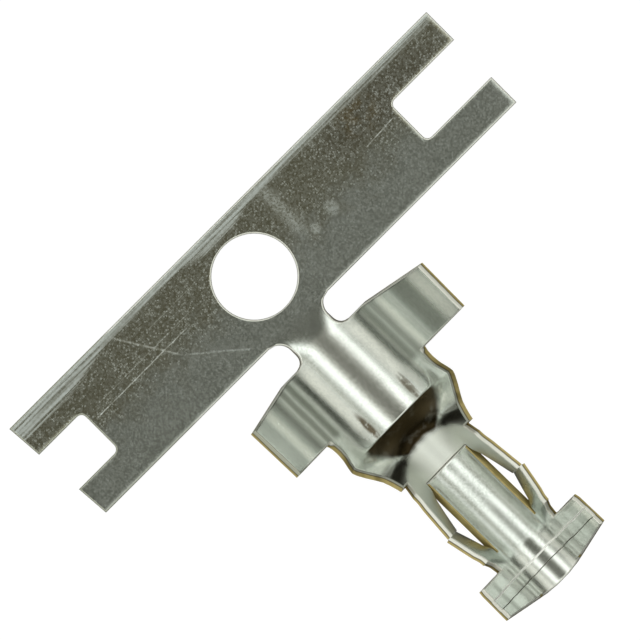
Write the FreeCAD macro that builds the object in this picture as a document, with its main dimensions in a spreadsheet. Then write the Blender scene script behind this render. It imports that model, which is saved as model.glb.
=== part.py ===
import FreeCAD, Part
import math
import os
import Sketcher

# Crimp terminal with a snap-in nose, on a cut length of its carrier strip.
# One folded sheet, so one body. The origin is the middle of the pilot hole on the lower face
# of the sheet, X runs along the strip, the terminal points to -Y and is open towards +Z.

# Sheet and carrier strip
gauge = 0.12  # thickness of the sheet
strip_back = 1.138  # strip edge away from the terminal, from the pilot hole
strip_front = 1.074  # strip edge on the terminal side
strip_right = 5.36  # cut end on the right
strip_left_back = 4.88  # cut end on the left, back corner
strip_left_front = 4.72  # cut end on the left, front corner, so the cut is a little skew
pilot_radius = 0.75  # pilot hole radius
window_start = 3.79  # inner end of the slots between neighbouring terminals
window_half = 0.458  # half width of the slots
window_corner = 0.11  # inner corner radius of the slots
# Neck between strip and barrel
neck_half = 0.456  # half width of the neck
neck_blank = 0.80  # half width of the neck before its sides are cut
neck_curl = 1.32  # where the neck starts to curl up into the barrel
blank_radius = 15  # bend of the flat neck, so large that it is as good as flat
blank_slope = 1.5  # degrees of that bend
neck_slope = 30  # degrees to which the neck curls up at the barrel
neck_fillet_strip = 0.27  # fillet at the strip
neck_fillet_barrel = 0.20  # fillet at the barrel
lean = 0.8  # degrees by which the terminal leans off square to the strip
# Insulation barrel
barrel_start = 1.674  # start of the barrel
barrel_radius = 1.25  # outer radius of the trough
barrel_slope = 55  # degrees at which the wings rise
wing_end = 2.958  # end of the wings
wing_reach_left = 1.99  # tip of the left wing from the axis
wing_reach_right = 2.22  # tip of the right wing from the axis
wing_taper_start = 0.99  # where the back edge of a wing starts to slope
wing_taper = 0.205  # slope of that edge
wing_draw = 0.04  # how much nearer the wings stand to the axis at their front end
barrel_reach = 1.222  # free edge of the trough past the wings
waist_at = 3.18  # narrowest place of the trough
waist_reach = 1.186  # free edge there
crease_at = 3.531  # crease at the foot of the ramp
crease_reach = 1.255  # free edge at the crease
crease_slope = 56  # degrees of the walls at the crease
# Ramp up to the nose
ramp_end = 3.95  # top of the ramp
ramp_rise = 0.45  # height that the floor climbs
ramp_top_radius = 0.87  # outer radius at the top of the ramp
ramp_top_reach = 1.055  # free edge at the top of the ramp
ramp_top_slope = 57  # degrees of the walls at the top of the ramp
brow_at = 4.06  # where the shoulders start
brow_radius = 0.76  # outer radius there
brow_reach = 0.99  # free edge there
brow_slope = 58  # degrees of the walls there
shoulder_at = 4.416  # end of the shoulders
shoulder_reach = 0.89  # free edge at the shoulders
shoulder_slope = 60  # degrees of the walls at the shoulders
# Nose with the spring legs and the tongue
nose_radius = 0.70  # outer radius of the nose trough
collar_reach = 0.79  # free edge at the start of the collar
collar_end_reach = 0.83  # free edge at the end of the collar
collar_slope = 66  # degrees of the walls at the end of the collar
collar_end = 4.645  # end of the collar
shear_gap = 0.02  # gap between the collar and the free end of the tongue
tongue_slope = 50  # degrees that the tongue is rolled up to each side
tongue_reach = 0.555  # side of the tongue
tongue_drop = 0.02  # how much lower the free end of the tongue lies than the collar
leg_width = 0.60  # width of a spring leg, measured up the sheet
knee_at = 5.585  # knee of a leg, where its halves meet in a small step
knee_reach = 0.915  # outer edge at the end of the upper half
knee_step = 0.046  # how much further out the lower half starts
knee_slope = 80  # degrees of the upper half at the knee
knee_lower_slope = 78  # degrees of the lower half there
root_at = 6.333  # where the tongue and the legs join again
root_reach = 0.81  # free edge there
root_slope = 72  # degrees of the walls there
# Wire barrel at the tip
tip_start = 6.602  # start of the tip wings
tip_rise = 0.93  # height of the floor at the tip, to which the nose floor climbs
tip_neck_reach = 0.735  # free edge just before the tip wings
tip_radius = 0.70  # outer radius of the tip trough
tip_slope = 55  # degrees at which the tip wings rise
tip_reach = 1.20  # tip wings from the axis
band_start = 6.88  # start of the coined band
band_end = 7.09  # end of the coined band
band_depth = 0.02  # depth of the coined band
tip_corner = 7.27  # where the end edge starts at the wings
tip_end = 7.49  # end of the terminal on the axis
tip_flat = 0.25  # half width of the straight middle of the end edge

# Trims reach this far past the metal
overcut = 0.4

value = {name: item for name, item in list(vars().items()) if type(item) in (int, float)}
doc = FreeCAD.newDocument("crimp_terminal")
sheet = doc.addObject("Spreadsheet::Sheet", "sizes")
sheet.Label = "sizes"
for i, (name, item) in enumerate(value.items(), 1):
    sheet.set("A%d" % i, name)
    sheet.set("B%d" % i, str(item))
    sheet.setAlias("B%d" % i, name)
workings = doc.addObject("Spreadsheet::Sheet", "workings")
doc.recompute()

body = doc.addObject("PartDesign::Body", "crimp_terminal")
body.Label = "crimp_terminal"
plane = {}
for item in body.Origin.OriginFeatures:
    plane[item.Role] = item


def number(text):
    """Value of an expression written with the names of the sheet."""
    workings.set("A1", "=" + text)
    workings.recompute()
    result = workings.get("A1")
    return float(getattr(result, "Value", result))


def new_sketch(name, role):
    sketch = body.newObject("Sketcher::SketchObject", name)
    sketch.AttachmentSupport = [(plane[role], "")]
    sketch.MapMode = "FlatFace"
    return sketch


def new_station(name, at):
    """Sketch square to the terminal at a distance from the pilot hole."""
    sketch = new_sketch(name, "XZ_Plane")
    sketch.AttachmentOffset = FreeCAD.Placement(
        FreeCAD.Vector(0, 0, number(at)), FreeCAD.Rotation(FreeCAD.Vector(0, 1, 0), lean))
    along = "((%s) - sizes.strip_front)" % at
    sketch.setExpression("AttachmentOffset.Base.x", along + " * sin(sizes.lean * 1 deg) * 1 mm")
    sketch.setExpression("AttachmentOffset.Base.z",
                         "(sizes.strip_front + " + along + " * cos(sizes.lean * 1 deg)) * 1 mm")
    sketch.setExpression("AttachmentOffset.Rotation.Angle", "sizes.lean * 1 deg")
    return sketch


def bind(sketch, kind, first, expression, amount):
    """Dimension tied to an expression."""
    index = sketch.addConstraint(Sketcher.Constraint(kind, *first, amount))
    sketch.setExpression("Constraints[%d]" % index, expression)
    return index


def pin(sketch, geometry, end, across, up, mirror=1):
    """Holds a point at two expressions, measured from the sketch origin."""
    for kind, expression in (("DistanceX", across), ("DistanceY", up)):
        if expression is None:
            continue
        amount = mirror * number(expression)
        if mirror < 0:
            expression = "-(%s)" % expression
        if abs(amount) < 1e-9:
            axis = -2 if kind == "DistanceX" else -1
            sketch.addConstraint(Sketcher.Constraint("PointOnObject", geometry, end, axis))
        elif amount > 0:
            bind(sketch, kind, (-1, 1, geometry, end), expression, amount)
        else:
            bind(sketch, kind, (geometry, end, -1, 1), "-(%s)" % expression, -amount)


def polygon(sketch, corners):
    """Closed outline whose corners are pairs of expressions."""
    points = [FreeCAD.Vector(number(x), number(y), 0) for x, y in corners]
    count = len(points)
    lines = []
    for i in range(count):
        lines.append(sketch.addGeometry(Part.LineSegment(points[i], points[(i + 1) % count])))
    for i in range(count):
        sketch.addConstraint(Sketcher.Constraint("Coincident", lines[i], 2, lines[(i + 1) % count], 1))
    for i in range(count):
        pin(sketch, lines[i], 1, corners[i][0], corners[i][1])


def channel(name, at, floor, radius, slope, right, left=None, thickness="sizes.gauge"):
    """Section of the folded sheet: a trough with two straight walls that lean outwards."""
    left = left or right
    sketch = new_station(name, at)
    r = number(radius)
    g = number(thickness)
    a = math.radians(number(slope))
    up = number(floor) + r
    centre = FreeCAD.Vector(0, up, 0)
    axis = FreeCAD.Vector(0, 0, 1)
    down = 1.5 * math.pi

    def wall(side, reach):
        start_out = FreeCAD.Vector(side * r * math.sin(a), up - r * math.cos(a), 0)
        start_in = FreeCAD.Vector(side * (r - g) * math.sin(a), up - (r - g) * math.cos(a), 0)
        length = (reach - r * math.sin(a)) / math.cos(a)
        run = FreeCAD.Vector(side * math.cos(a), math.sin(a), 0) * length
        return start_out, start_out + run, start_in + run, start_in

    ro, rtop, rtin, ri = wall(1, number(right))
    lo, ltop, ltin, li = wall(-1, number(left))
    add = sketch.addGeometry
    outer = add(Part.ArcOfCircle(Part.Circle(centre, axis, r), down - a, down + a))
    inner = add(Part.ArcOfCircle(Part.Circle(centre, axis, r - g), down - a, down + a))
    right_out = add(Part.LineSegment(ro, rtop))
    right_end = add(Part.LineSegment(rtop, rtin))
    right_in = add(Part.LineSegment(rtin, ri))
    left_in = add(Part.LineSegment(li, ltin))
    left_end = add(Part.LineSegment(ltin, ltop))
    left_out = add(Part.LineSegment(ltop, lo))
    con = Sketcher.Constraint
    sketch.addConstraint([
        con("Coincident", outer, 3, inner, 3),
        con("PointOnObject", outer, 3, -2),
        con("Tangent", outer, 2, right_out, 1),
        con("Tangent", inner, 2, right_in, 2),
        con("Tangent", outer, 1, left_out, 2),
        con("Tangent", inner, 1, left_in, 1),
        con("Coincident", right_out, 2, right_end, 1),
        con("Coincident", right_end, 2, right_in, 1),
        con("Coincident", left_in, 2, left_end, 1),
        con("Coincident", left_end, 2, left_out, 1),
        con("Perpendicular", right_out, right_end),
        con("Perpendicular", left_out, left_end),
        con("Parallel", right_out, right_in),
        con("Parallel", left_out, left_in),
    ])
    bind(sketch, "Radius", (outer,), radius, r)
    bind(sketch, "Radius", (inner,), "(%s) - (%s)" % (radius, thickness), r - g)
    bind(sketch, "DistanceY", (-1, 1, outer, 3), "(%s) + (%s)" % (floor, radius), up)
    bind(sketch, "Angle", (right_out,), slope, a)
    bind(sketch, "Angle", (left_out,), "-(%s)" % slope, -a)
    pin(sketch, right_out, 2, right, None)
    pin(sketch, left_out, 1, left, None, -1)
    return sketch


def leg_section(name, at, side, reach, top, slope):
    """Section of a spring leg: a strip of sheet that stands on its edge."""
    sketch = new_station(name, at)
    a = math.radians(number(slope))
    w = leg_width
    g = gauge
    outer_top = FreeCAD.Vector(side * number(reach), number(top), 0)
    along = FreeCAD.Vector(side * math.cos(a), math.sin(a), 0)
    inwards = FreeCAD.Vector(-side * math.sin(a), math.cos(a), 0)
    outer_low = outer_top - along * w
    add = sketch.addGeometry
    outer = add(Part.LineSegment(outer_low, outer_top))
    rim = add(Part.LineSegment(outer_top, outer_top + inwards * g))
    inner = add(Part.LineSegment(outer_top + inwards * g, outer_low + inwards * g))
    foot = add(Part.LineSegment(outer_low + inwards * g, outer_low))
    con = Sketcher.Constraint
    sketch.addConstraint([
        con("Coincident", outer, 2, rim, 1),
        con("Coincident", rim, 2, inner, 1),
        con("Coincident", inner, 2, foot, 1),
        con("Coincident", foot, 2, outer, 1),
        con("Perpendicular", outer, rim),
        con("Parallel", outer, inner),
        con("Parallel", rim, foot),
    ])
    if side > 0:
        bind(sketch, "Angle", (outer,), slope, a)
        bind(sketch, "DistanceX", (-1, 1, outer, 2), reach, number(reach))
    else:
        bind(sketch, "Angle", (outer,), "180 - %s" % slope, math.pi - a)
        bind(sketch, "DistanceX", (outer, 2, -1, 1), reach, number(reach))
    bind(sketch, "Distance", (outer,), "sizes.leg_width", w)
    bind(sketch, "Distance", (rim,), "sizes.gauge", g)
    bind(sketch, "DistanceY", (-1, 1, outer, 2), top, number(top))
    return sketch


def nose_floor(at):
    """Height of the nose floor, which climbs evenly from the ramp to the tip."""
    return ("(sizes.ramp_rise + (sizes.tip_rise - sizes.ramp_rise) * ((%s) - sizes.ramp_end)"
            " / (sizes.tip_start - sizes.ramp_end))" % at)


def wall_top(at, slope, reach):
    """Height of the outer top corner of a nose wall."""
    return ("{floor} + sizes.nose_radius * (1 - cos({s} * 1 deg))"
            " + ({x} - sizes.nose_radius * sin({s} * 1 deg)) * tan({s} * 1 deg)").format(
                floor=nose_floor(at), s=slope, x=reach)


collar_top = wall_top("sizes.collar_end", "sizes.collar_slope", "sizes.collar_end_reach")
root_top = wall_top("sizes.root_at", "sizes.root_slope", "sizes.root_reach")
knee_top = "({a}) + (({b}) - ({a})) * (sizes.knee_at - sizes.collar_end) / (sizes.root_at - sizes.collar_end)".format(
    a=collar_top, b=root_top)


def loft(name, first, others):
    feature = body.newObject("PartDesign::AdditiveLoft", name)
    feature.Profile = first
    feature.Sections = others
    feature.Ruled = True
    feature.Closed = False
    return feature


def cut_through(name, sketch):
    feature = body.newObject("PartDesign::Pocket", name)
    feature.Profile = sketch
    feature.Type = 1
    feature.Midplane = True
    return feature


# Carrier strip with a blank for the neck
strip = new_sketch("strip_outline", "XY_Plane")
polygon(strip, [
    ("-1*sizes.strip_left_back", "sizes.strip_back"),
    ("sizes.strip_right", "sizes.strip_back"),
    ("sizes.strip_right", "-1*sizes.strip_front"),
    ("sizes.neck_blank", "-1*sizes.strip_front"),
    ("sizes.neck_blank", "-1*sizes.neck_curl"),
    ("-1*sizes.neck_blank", "-1*sizes.neck_curl"),
    ("-1*sizes.neck_blank", "-1*sizes.strip_front"),
    ("-1*sizes.strip_left_front", "-1*sizes.strip_front"),
])
strip_pad = body.newObject("PartDesign::Pad", "strip_pad")
strip_pad.Profile = strip
strip_pad.setExpression("Length", "sizes.gauge * 1 mm")
doc.recompute()

# Pilot hole, with the centre on the origin
pilot = new_sketch("pilot_hole", "XY_Plane")
circle = pilot.addGeometry(Part.Circle(FreeCAD.Vector(0, 0, 0), FreeCAD.Vector(0, 0, 1), pilot_radius))
pilot.addConstraint(Sketcher.Constraint("Coincident", circle, 3, -1, 1))
bind(pilot, "Radius", (circle,), "sizes.pilot_radius", pilot_radius)
cut_through("pilot_cut", pilot)

# Half slots at both ends, which stay from the neighbouring terminals
for side, label in ((1, "right"), (-1, "left")):
    window = new_sketch("window_" + label, "XY_Plane")
    near = "%d*sizes.window_start" % side
    far = "%d*sizes.strip_right + %d" % (side, side)
    polygon(window, [
        (near, "sizes.window_half"),
        (far, "sizes.window_half"),
        (far, "-1*sizes.window_half"),
        (near, "-1*sizes.window_half"),
    ])
    cut_through("window_cut_" + label, window)
    doc.recompute()
    base = body.Tip
    corners = []
    for i, edge in enumerate(base.Shape.Edges, 1):
        ends = [vertex.Point for vertex in edge.Vertexes]
        upright = len(ends) == 2 and abs(ends[0].x - ends[1].x) + abs(ends[0].y - ends[1].y) < 1e-6
        if upright and abs(ends[0].x - side * window_start) < 1e-6:
            corners.append("Edge%d" % i)
    rounding = body.newObject("PartDesign::Fillet", "window_round_" + label)
    rounding.Base = (base, corners)
    rounding.setExpression("Radius", "sizes.window_corner * 1 mm")

# Neck that curls up into the trough, then the insulation barrel with its wings
neck_a = channel("neck_flat", "sizes.neck_curl", "0", "sizes.blank_radius", "sizes.blank_slope", "sizes.neck_blank")
neck_a.setExpression("AttachmentOffset.Base.x", None)
neck_a.setExpression("AttachmentOffset.Rotation.Angle", None)
neck_a.setExpression("AttachmentOffset.Base.z", "sizes.neck_curl * 1 mm")
neck_a.AttachmentOffset = FreeCAD.Placement(FreeCAD.Vector(0, 0, neck_curl), FreeCAD.Rotation())
neck_b = channel("neck_curled", "sizes.barrel_start", "0", "sizes.barrel_radius", "sizes.neck_slope", "sizes.neck_blank")
loft("neck", neck_a, [neck_b])

wing_a = channel("wing_back", "sizes.barrel_start", "0", "sizes.barrel_radius", "sizes.barrel_slope",
                 "sizes.wing_reach_right", "sizes.wing_reach_left")
wing_b = channel("wing_front", "sizes.wing_end", "0", "sizes.barrel_radius", "sizes.barrel_slope",
                 "sizes.wing_reach_right - sizes.wing_draw", "sizes.wing_reach_left - sizes.wing_draw")
loft("wings", wing_a, [wing_b])

# Trough past the wings, drawn in to a waist
base_a = channel("trough_start", "sizes.wing_end", "0", "sizes.barrel_radius", "sizes.barrel_slope",
                 "sizes.barrel_reach")
base_b = channel("trough_waist", "sizes.waist_at", "0", "sizes.barrel_radius", "sizes.barrel_slope",
                 "sizes.waist_reach")
base_c = channel("trough_crease", "sizes.crease_at", "0", "sizes.barrel_radius", "sizes.crease_slope",
                 "sizes.crease_reach")
loft("trough", base_a, [base_b, base_c])

# Ramp that lifts the floor to the nose, and the shoulders
ramp_a = channel("ramp_foot", "sizes.crease_at", "0", "sizes.barrel_radius", "sizes.crease_slope",
                 "sizes.crease_reach")
ramp_b = channel("ramp_top", "sizes.ramp_end", "sizes.ramp_rise", "sizes.ramp_top_radius",
                 "sizes.ramp_top_slope", "sizes.ramp_top_reach")
ramp_c = channel("shoulder_start", "sizes.brow_at", nose_floor("sizes.brow_at"), "sizes.brow_radius",
                 "sizes.brow_slope", "sizes.brow_reach")
ramp_d = channel("shoulder_end", "sizes.shoulder_at", nose_floor("sizes.shoulder_at"), "sizes.nose_radius",
                 "sizes.shoulder_slope", "sizes.shoulder_reach")
loft("ramp", ramp_a, [ramp_b, ramp_c, ramp_d])

# Collar: the part of the nose that stays whole all the way round
collar_a = channel("collar_start", "sizes.shoulder_at", nose_floor("sizes.shoulder_at"), "sizes.nose_radius",
                   "sizes.shoulder_slope", "sizes.collar_reach")
collar_b = channel("collar_end_section", "sizes.collar_end", nose_floor("sizes.collar_end"),
                   "sizes.nose_radius", "sizes.collar_slope", "sizes.collar_end_reach")
loft("collar", collar_a, [collar_b])

# Spring legs, one on each side: out to a sharp knee and back in
for side, label in ((1, "right"), (-1, "left")):
    upper_a = leg_section("leg_top_" + label, "sizes.collar_end", side, "sizes.collar_end_reach",
                          collar_top, "sizes.collar_slope")
    upper_b = leg_section("knee_upper_" + label, "sizes.knee_at", side, "sizes.knee_reach",
                          knee_top, "sizes.knee_slope")
    loft("leg_upper_" + label, upper_a, [upper_b])
    lower_a = leg_section("knee_lower_" + label, "sizes.knee_at", side, "sizes.knee_reach + sizes.knee_step",
                          knee_top, "sizes.knee_lower_slope")
    lower_b = leg_section("leg_foot_" + label, "sizes.root_at", side, "sizes.root_reach",
                          root_top, "sizes.root_slope")
    loft("leg_lower_" + label, lower_a, [lower_b])

# Root of the legs, where the sheet is whole again up to the wire barrel
root_a = channel("root_start", "sizes.root_at", nose_floor("sizes.root_at"), "sizes.nose_radius",
                 "sizes.root_slope", "sizes.root_reach")
root_b = channel("root_end", "sizes.tip_start", "sizes.tip_rise", "sizes.tip_radius",
                 "sizes.tip_slope", "sizes.tip_neck_reach")
loft("root", root_a, [root_b])

# Tongue: the floor of the nose, cut free from the collar and joined at the root only
tongue_a = channel("tongue_tip", "sizes.collar_end + sizes.shear_gap",
                   nose_floor("sizes.collar_end + sizes.shear_gap") + " - sizes.tongue_drop",
                   "sizes.nose_radius", "sizes.tongue_slope", "sizes.tongue_reach")
tongue_b = channel("tongue_root", "sizes.root_at", nose_floor("sizes.root_at"), "sizes.nose_radius",
                   "sizes.tongue_slope", "sizes.tongue_reach")
loft("tongue", tongue_a, [tongue_b])

# Wire barrel at the tip, with a shallow coined band across it
for label, start, end, thickness in (
        ("back", "sizes.tip_start", "sizes.band_start", "sizes.gauge"),
        ("band", "sizes.band_start", "sizes.band_end", "sizes.gauge - sizes.band_depth"),
        ("front", "sizes.band_end", "sizes.tip_end + sizes.overcut", "sizes.gauge")):
    section = channel("tip_section_" + label, start, "sizes.tip_rise", "sizes.tip_radius",
                      "sizes.tip_slope", "sizes.tip_reach", None, thickness)
    tip = body.newObject("PartDesign::Pad", "tip_" + label)
    tip.Profile = section
    tip.setExpression("Length", "((%s) - (%s)) * 1 mm" % (end, start))

# Sides of the neck, trimmed in plan with a fillet at the strip and one at the barrel
for side, label in ((1, "right"), (-1, "left")):
    trim = new_sketch("neck_side_" + label, "XY_Plane")
    near = neck_half
    far = neck_blank + overcut
    back = strip_front
    front = barrel_start
    big = neck_fillet_strip
    small = neck_fillet_barrel
    vector = FreeCAD.Vector
    z = vector(0, 0, 1)
    quarter = 0.5 * math.pi
    if side > 0:
        arc_a = Part.ArcOfCircle(Part.Circle(vector(near + big, -back - big, 0), z, big), quarter, 2 * quarter)
        arc_b = Part.ArcOfCircle(Part.Circle(vector(near + small, -front + small, 0), z, small),
                                 2 * quarter, 3 * quarter)
    else:
        arc_a = Part.ArcOfCircle(Part.Circle(vector(-near - big, -back - big, 0), z, big), 0, quarter)
        arc_b = Part.ArcOfCircle(Part.Circle(vector(-near - small, -front + small, 0), z, small),
                                 -quarter, 0)
    top_arc = trim.addGeometry(arc_a)
    low_arc = trim.addGeometry(arc_b)
    back_line = trim.addGeometry(Part.LineSegment(
        vector(side * (near + big), -back, 0), vector(side * far, -back, 0)))
    far_line = trim.addGeometry(Part.LineSegment(
        vector(side * far, -back, 0), vector(side * far, -front, 0)))
    front_line = trim.addGeometry(Part.LineSegment(
        vector(side * far, -front, 0), vector(side * (near + small), -front, 0)))
    near_line = trim.addGeometry(Part.LineSegment(
        vector(side * near, -front + small, 0), vector(side * near, -back - big, 0)))
    con = Sketcher.Constraint
    first, last = (1, 2) if side > 0 else (2, 1)
    trim.addConstraint([
        con("Tangent", top_arc, first, back_line, 1),
        con("Tangent", top_arc, last, near_line, 2),
        con("Tangent", low_arc, last, front_line, 2),
        con("Tangent", low_arc, first, near_line, 1),
        con("Coincident", back_line, 2, far_line, 1),
        con("Coincident", far_line, 2, front_line, 1),
        con("Horizontal", back_line),
        con("Horizontal", front_line),
        con("Vertical", far_line),
        con("Vertical", near_line),
    ])
    bind(trim, "Radius", (top_arc,), "sizes.neck_fillet_strip", big)
    bind(trim, "Radius", (low_arc,), "sizes.neck_fillet_barrel", small)
    if side > 0:
        bind(trim, "DistanceX", (-1, 1, near_line, 2), "sizes.neck_half", near)
        bind(trim, "DistanceX", (-1, 1, far_line, 1), "sizes.neck_blank + sizes.overcut", far)
    else:
        bind(trim, "DistanceX", (near_line, 2, -1, 1), "sizes.neck_half", near)
        bind(trim, "DistanceX", (far_line, 1, -1, 1), "sizes.neck_blank + sizes.overcut", far)
    bind(trim, "DistanceY", (back_line, 2, -1, 1), "sizes.strip_front", back)
    bind(trim, "DistanceY", (far_line, 2, -1, 1), "sizes.barrel_start", front)
    cut_through("neck_cut_" + label, trim)

    # Back edge of the wing, which slopes towards the nose from the trough outwards
    slope = new_sketch("wing_back_" + label, "XY_Plane")
    far_x = "%d*sizes.wing_reach_right + %d" % (side, side)
    low = "-1*sizes.barrel_start - 1*sizes.wing_taper * sizes.wing_reach_right - 1*sizes.wing_taper"
    polygon(slope, [
        ("%d*sizes.wing_taper_start" % side, "-1*sizes.barrel_start"),
        ("%d*sizes.wing_taper_start" % side, "-1*sizes.strip_front - 0.01"),
        (far_x, "-1*sizes.strip_front - 0.01"),
        (far_x, low + " + 1*sizes.wing_taper * sizes.wing_taper_start"),
    ])
    cut_through("wing_cut_" + label, slope)

# End edge of the wire barrel, which runs back from the axis to both wings
edge = new_sketch("tip_edge", "XY_Plane")
edge.AttachmentOffset = FreeCAD.Placement(
    FreeCAD.Vector(0, 0, 0), FreeCAD.Rotation(FreeCAD.Vector(0, 0, 1), lean))
edge.setExpression("AttachmentOffset.Base.x", "-1 * sizes.strip_front * sin(sizes.lean * 1 deg) * 1 mm")
edge.setExpression("AttachmentOffset.Rotation.Angle", "sizes.lean * 1 deg")
polygon(edge, [
    ("-1*sizes.tip_flat", "-1*sizes.tip_end"),
    ("-1*sizes.tip_reach", "-1*sizes.tip_corner"),
    ("-1*sizes.tip_reach - 1*sizes.overcut", "-1*sizes.tip_corner"),
    ("-1*sizes.tip_reach - 1*sizes.overcut", "-1*sizes.tip_end - 2*sizes.overcut"),
    ("sizes.tip_reach + sizes.overcut", "-1*sizes.tip_end - 2*sizes.overcut"),
    ("sizes.tip_reach + sizes.overcut", "-1*sizes.tip_corner"),
    ("sizes.tip_reach", "-1*sizes.tip_corner"),
    ("sizes.tip_flat", "-1*sizes.tip_end"),
])
cut_through("tip_cut", edge)

doc.recompute()
for obj in doc.Objects:
    if any(flag in obj.State for flag in ("Invalid", "Error")):
        raise RuntimeError("%s did not build: %s" % (obj.Name, obj.State))
    if obj.TypeId == "Sketcher::SketchObject" and not obj.FullyConstrained:
        print("not fully held:", obj.Name)
for obj in body.Group:
    if obj.isDerivedFrom("PartDesign::Feature"):
        print(obj.Name, round(obj.Shape.Volume, 5), len(obj.Shape.Solids), obj.Shape.isValid())

shape = body.Shape
if shape.isNull() or not shape.isValid() or len(shape.Solids) != 1:
    raise RuntimeError("the terminal is not one sound solid")
box = shape.optimalBoundingBox(False)
print("box", [round(v, 3) for v in (box.XMin, box.XMax, box.YMin, box.YMax, box.ZMin, box.ZMax)])
os.makedirs("parts", exist_ok=True)
shape.exportStep("parts/crimp_terminal.step")
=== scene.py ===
import bisect
import math

import bmesh
import bpy
from bpy.props import FloatProperty, PointerProperty
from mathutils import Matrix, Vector

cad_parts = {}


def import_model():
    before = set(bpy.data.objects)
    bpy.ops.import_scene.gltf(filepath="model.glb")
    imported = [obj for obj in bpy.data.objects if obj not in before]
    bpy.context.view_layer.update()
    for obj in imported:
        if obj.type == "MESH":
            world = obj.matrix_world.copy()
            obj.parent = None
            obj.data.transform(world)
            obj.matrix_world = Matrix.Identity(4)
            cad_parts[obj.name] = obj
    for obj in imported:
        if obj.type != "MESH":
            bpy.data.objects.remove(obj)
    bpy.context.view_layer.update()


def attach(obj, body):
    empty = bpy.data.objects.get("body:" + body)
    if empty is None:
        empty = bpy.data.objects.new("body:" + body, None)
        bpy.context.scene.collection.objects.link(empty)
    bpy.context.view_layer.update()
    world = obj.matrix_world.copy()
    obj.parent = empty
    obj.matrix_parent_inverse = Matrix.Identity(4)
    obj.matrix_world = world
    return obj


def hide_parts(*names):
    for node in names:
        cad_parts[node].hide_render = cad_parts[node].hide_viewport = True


bl_info = {
    "name": "Crimp terminal",
    "version": (1, 0, 0),
    "blender": (4, 5, 0),
    "location": "View3D > Sidebar > Terminal",
    "description": "Builds the folded sheet terminal, its tin-plated finish and the studio",
    "category": "Object",
}

MM = 0.001

# Sheet and strip, in millimetres
GAUGE = 0.12
STRIP_BACK = 1.138
STRIP_FRONT = 1.074
STRIP_RIGHT = 5.36
STRIP_LEFT_BACK = 4.88
STRIP_LEFT_FRONT = 4.72
PILOT_RADIUS = 0.75
WINDOW_START = 3.79
WINDOW_HALF = 0.458
WINDOW_CORNER = 0.11
NECK_HALF = 0.456
NECK_FILLET_STRIP = 0.27
NECK_FILLET_BARREL = 0.20
LEAN = math.radians(0.8)

# Stations along the terminal, measured from the pilot hole
BARREL_START = 1.674
WING_END = 2.958
CREASE_AT = 3.531
SHOULDER_AT = 4.416
COLLAR_END = 4.645
SHEAR_GAP = 0.008
RAMP_END = 3.95
RAMP_RISE = 0.45
TIP_RISE = 0.93
BARREL_RADIUS = 1.25
NOSE_RADIUS = 0.70
BARREL_SLOPE = 55.0
COLLAR_SLOPE = 66.0
ROOT_SLOPE = 72.0
TIP_SLOPE = 55.0
TONGUE_DROP = 0.02
KNEE_AT = 5.585
ROOT_AT = 6.333
TIP_START = 6.602
BAND_START = 6.88
BAND_END = 7.09
BAND_DEPTH = 0.02
TIP_CORNER = 7.27
TIP_END = 7.49
TIP_FLAT = 0.25
WING_REACH_LEFT = 1.99
WING_REACH_RIGHT = 2.22
WING_TAPER_START = 0.99
WING_TAPER = 0.205
WING_END_TAPER = 0.022
TIP_REACH = 1.20
LEG_FOOT = 0.606
KNEE_REACH = 0.915
KNEE_STEP = 0.046
KNEE_SLOPE = 80.0
KNEE_LOWER_SLOPE = 78.0
SHOULDER_REACH = 0.89
COLLAR_REACH = 0.79

# Half widths of the tongue across the flat sheet: its middle zone and its side
TONGUE_MIDDLE = 0.45
TONGUE_HALF = 0.585

# Half width of the neck-wide middle zone of the mesh at the barrel
NECK_FOOT = NECK_HALF + NECK_FILLET_BARREL

# Half length of the mesh patch round the pilot hole, and a step to just past a station
HOLE_PATCH_HALF = 1.30
TINY = 1e-6


def smooth(t):
    """Smooth step from 0 to 1."""
    t = min(max(t, 0.0), 1.0)
    return t * t * (3.0 - 2.0 * t)


def mix(a, b, t):
    return a + (b - a) * t


def table(at, rows):
    """Straight-line lookup in a short list of (place, value)."""
    places = [row[0] for row in rows]
    i = bisect.bisect_right(places, at)
    if i <= 0:
        return rows[0][1]
    if i >= len(rows):
        return rows[-1][1]
    (a, va), (b, vb) = rows[i - 1], rows[i]
    return mix(va, vb, (at - a) / (b - a))


def rounded(at, rows, half):
    """The same lookup with its corners rounded over a length."""
    total = 0.0
    for k in range(-4, 5):
        total += table(at + half * k / 4.0, rows)
    return total / 9.0


# Last station of the lookups, past the tip
FAR = 9.0
FLOOR = ((0.0, 0.0), (CREASE_AT, 0.0), (RAMP_END, RAMP_RISE), (TIP_START, TIP_RISE), (FAR, TIP_RISE))


def floor_height(d, w=0.0):
    """Height of the outer face on the axis. The crease fades out towards the walls."""
    fade = 0.30 * smooth((abs(w) - 0.80) / 0.55) * (1.0 - smooth((d - 3.9) / 0.4))
    turn = 0.04 + 0.05 * smooth((d - 3.7) / 0.2) * (1.0 - smooth((d - 5.0) / 1.0))
    return rounded(d, FLOOR, turn + fade)


def trough_radius(d):
    rows = ((0.0, BARREL_RADIUS), (3.60, BARREL_RADIUS), (4.05, 0.76), (SHOULDER_AT, NOSE_RADIUS),
            (FAR, NOSE_RADIUS))
    return rounded(d, rows, 0.05)


def trough_slope(d):
    """Angle at which the walls rise, in radians."""
    if d >= ROOT_AT:
        rows = ((ROOT_AT, ROOT_SLOPE), (TIP_START, TIP_SLOPE), (FAR, TIP_SLOPE))
    else:
        rows = ((0.0, BARREL_SLOPE), (WING_END, BARREL_SLOPE), (CREASE_AT, 56.0), (RAMP_END, 57.0),
                (SHOULDER_AT, 60.0), (COLLAR_END, COLLAR_SLOPE), (ROOT_AT, ROOT_SLOPE))
    return math.radians(table(d, rows))


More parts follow.
